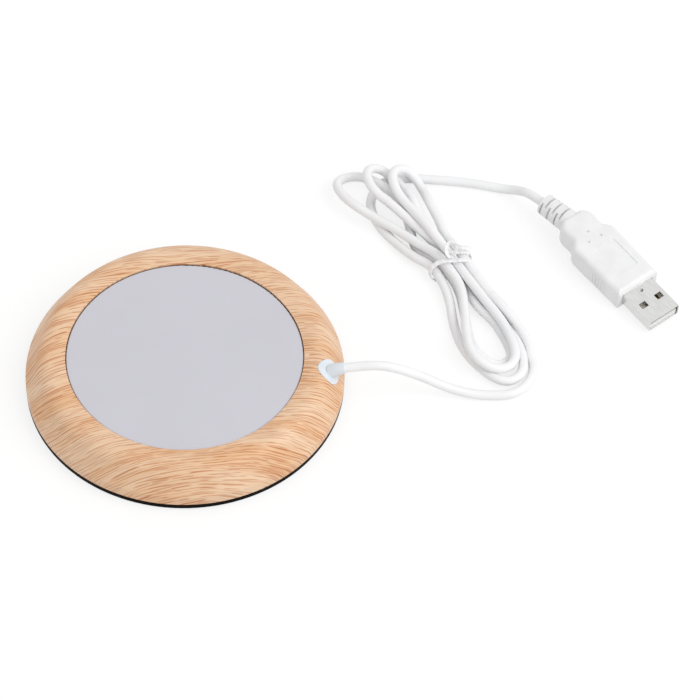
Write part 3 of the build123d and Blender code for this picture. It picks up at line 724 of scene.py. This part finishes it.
class WARMER_OT_plug(bpy.types.Operator):
    """Finishes the grommet and the plug"""

    bl_idname = "warmer.plug"
    bl_label = "Grommet and plug"

    def execute(self, context):
        look = settings()
        paint("cord_grommet", moulded("Grommet plastic", look.grommet_pale, 0.35))
        paint("plug_grip", moulded("Plug plastic", look.plug_white, 0.38))
        nickel = metal("Plug nickel", look.shell_nickel, 0.22, (250, 1800, 1800), turn=PLUG_TURN)
        paint("plug_shell", nickel)
        paint("plug_tongue", moulded("Tongue plastic", linear(236, 236, 234), 0.4))
        gold = metal("Contact gold", linear(226, 190, 110), 0.25, (900, 300, 300))
        for number in range(1, 5):
            paint(f"plug_contact_{number}", gold)
        return {"FINISHED"}


# Stage, in metres and watts. The floor's two greys are what shows its shadows, under a glow that
# brings it up to white, and what lights the object from below.

FLOOR_REACH = 4.0
FLOOR_GLOW = 0.77
FLOOR_SHADOWED = 0.25
FLOOR_PLAIN = 0.8
LAMP_PLACE = Vector((0.9, -0.35, 0.95))
LAMP_AIM = Vector((0.05, 0.0, 0.0))
LAMP_WIDTH = 1.0
LAMP_POWER = 6.9
SURROUNDINGS_SEEN = 1.0
SURROUNDINGS_LIGHT = 0.75


def grey(level):
    return (level, level, level, 1.0)


class WARMER_OT_stage(bpy.types.Operator):
    """Sets the pale floor, the soft lamp and the white surroundings"""

    bl_idname = "warmer.stage"
    bl_label = "Stage"

    def execute(self, context):
        scene = context.scene
        scene.view_settings.view_transform = "Standard"
        bm = bmesh.new()
        bmesh.ops.create_grid(bm, x_segments=1, y_segments=1, size=FLOOR_REACH)
        floor = mesh_piece("Floor", bm, smooth=False)
        floor.data.materials.append(self.floor_material())
        lamp = bpy.data.lights.new("Soft lamp", "AREA")
        lamp.shape = "DISK"
        lamp.size = LAMP_WIDTH
        lamp.energy = LAMP_POWER
        lamp_object = bpy.data.objects.new("Soft lamp", lamp)
        lamp_object.location = LAMP_PLACE
        lamp_object.rotation_euler = (LAMP_AIM - LAMP_PLACE).to_track_quat("-Z", "Y").to_euler()
        scene.collection.objects.link(lamp_object)
        scene.world = self.surroundings()
        return {"FINISHED"}

    def seen_or_mirrored(self, tree):
        """One for the rays that show the background: camera, glossy and transmission rays."""
        path = tree.nodes.new("ShaderNodeLightPath")
        share = path.outputs["Is Camera Ray"]
        for ray in ("Is Glossy Ray", "Is Transmission Ray"):
            both = tree.nodes.new("ShaderNodeMath")
            both.operation = "MAXIMUM"
            tree.links.new(share, both.inputs[0])
            tree.links.new(path.outputs[ray], both.inputs[1])
            share = both.outputs[0]
        return share

    def floor_material(self):
        """White apart from its shadows where it shows, and plain grey where it lights the object."""
        material = bpy.data.materials.new("Floor")
        material.use_nodes = True
        tree = material.node_tree
        tree.nodes.clear()
        out = tree.nodes.new("ShaderNodeOutputMaterial")
        shadowed = tree.nodes.new("ShaderNodeBsdfDiffuse")
        shadowed.inputs["Color"].default_value = grey(FLOOR_SHADOWED)
        glow = tree.nodes.new("ShaderNodeEmission")
        glow.inputs["Strength"].default_value = FLOOR_GLOW
        both = tree.nodes.new("ShaderNodeAddShader")
        tree.links.new(shadowed.outputs[0], both.inputs[0])
        tree.links.new(glow.outputs[0], both.inputs[1])
        plain = tree.nodes.new("ShaderNodeBsdfDiffuse")
        plain.inputs["Color"].default_value = grey(FLOOR_PLAIN)
        choose = tree.nodes.new("ShaderNodeMixShader")
        tree.links.new(self.seen_or_mirrored(tree), choose.inputs[0])
        tree.links.new(plain.outputs[0], choose.inputs[1])
        tree.links.new(both.outputs[0], choose.inputs[2])
        tree.links.new(choose.outputs[0], out.inputs[0])
        return material

    def surroundings(self):
        """White all round where it shows, and a little less as light on the object."""
        world = bpy.data.worlds.new("Surroundings")
        world.use_nodes = True
        tree = world.node_tree
        background = tree.nodes["Background"]
        background.inputs["Color"].default_value = grey(1.0)
        level = tree.nodes.new("ShaderNodeMapRange")
        level.inputs["To Min"].default_value = SURROUNDINGS_LIGHT
        level.inputs["To Max"].default_value = SURROUNDINGS_SEEN
        tree.links.new(self.seen_or_mirrored(tree), level.inputs["Value"])
        tree.links.new(level.outputs[0], background.inputs["Strength"])
        return world


class WARMER_PT_panel(bpy.types.Panel):
    """Lists the settings and the steps that make the mug warmer"""

    bl_idname = "WARMER_PT_panel"
    bl_label = "Mug Warmer"
    bl_space_type = "VIEW_3D"
    bl_region_type = "UI"
    bl_category = "Warmer"

    def draw(self, context):
        for name in WarmerSettings.__annotations__:
            self.layout.prop(settings(), name)
        for step in STEPS:
            self.layout.operator(step.bl_idname)


STEPS = (
    WARMER_OT_camera,
    WARMER_OT_twist_tie,
    WARMER_OT_power_cord,
    WARMER_OT_wood_ring,
    WARMER_OT_plate,
    WARMER_OT_base,
    WARMER_OT_inside,
    WARMER_OT_plug,
    WARMER_OT_stage,
)
CLASSES = (WarmerSettings, *STEPS, WARMER_PT_panel)


def register():
    for cls in CLASSES:
        bpy.utils.register_class(cls)
    bpy.types.Scene.mug_warmer = PointerProperty(type=WarmerSettings)


def unregister():
    del bpy.types.Scene.mug_warmer
    for cls in reversed(CLASSES):
        bpy.utils.unregister_class(cls)


def main():
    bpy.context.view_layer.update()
    register()
    bpy.ops.warmer.camera()
    bpy.ops.warmer.twist_tie()
    bpy.ops.warmer.power_cord()
    bpy.ops.warmer.wood_ring()
    bpy.ops.warmer.plate()
    bpy.ops.warmer.base()
    bpy.ops.warmer.inside()
    bpy.ops.warmer.plug()
    bpy.ops.warmer.stage()


if __name__ == "__main__":
    main()
